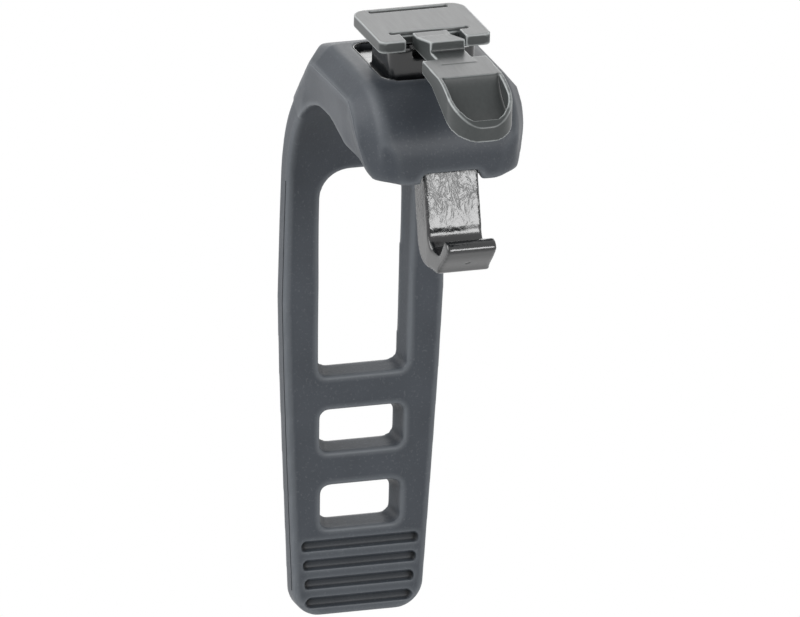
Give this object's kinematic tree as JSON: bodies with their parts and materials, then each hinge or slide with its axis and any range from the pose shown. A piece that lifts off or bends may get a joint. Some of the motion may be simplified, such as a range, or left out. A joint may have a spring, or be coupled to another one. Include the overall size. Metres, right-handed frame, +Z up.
{
  "type": "handlebar strap mount",
  "caption": "Rubber saddle with a windowed pull strap and a hard hook, topped by a cleat plate with a sprung latch lever, for strapping a small accessory to a round bar.",
  "frame": {"origin": "on the axis of the bar that the saddle sits on, midway along the saddle", "axes": "+X along the bar, -Y towards the hook and the lever, +Z up through the cleat plate"},
  "size_m": [0.0262, 0.0571, 0.1025],
  "materials": {
    "rubber": "matte dark grey",
    "black_nylon": "glossy black",
    "grey_plastic": "satin dark grey"
  },
  "bodies": {
    "mount": {"rubber_strap": "rubber", "hook_core": "black_nylon", "cleat_plate": "grey_plastic"},
    "lever": {"release_lever": "grey_plastic"}
  },
  "joints": [
    {"name": "lever_press", "type": "hinge", "parent": "mount", "child": "lever", "pos_m": [0, -0.0103, 0.0301], "axis": [1, 0, 0], "range_deg": [0, 11], "stiffness_Nm_per_rad": 0.8}
  ]
}
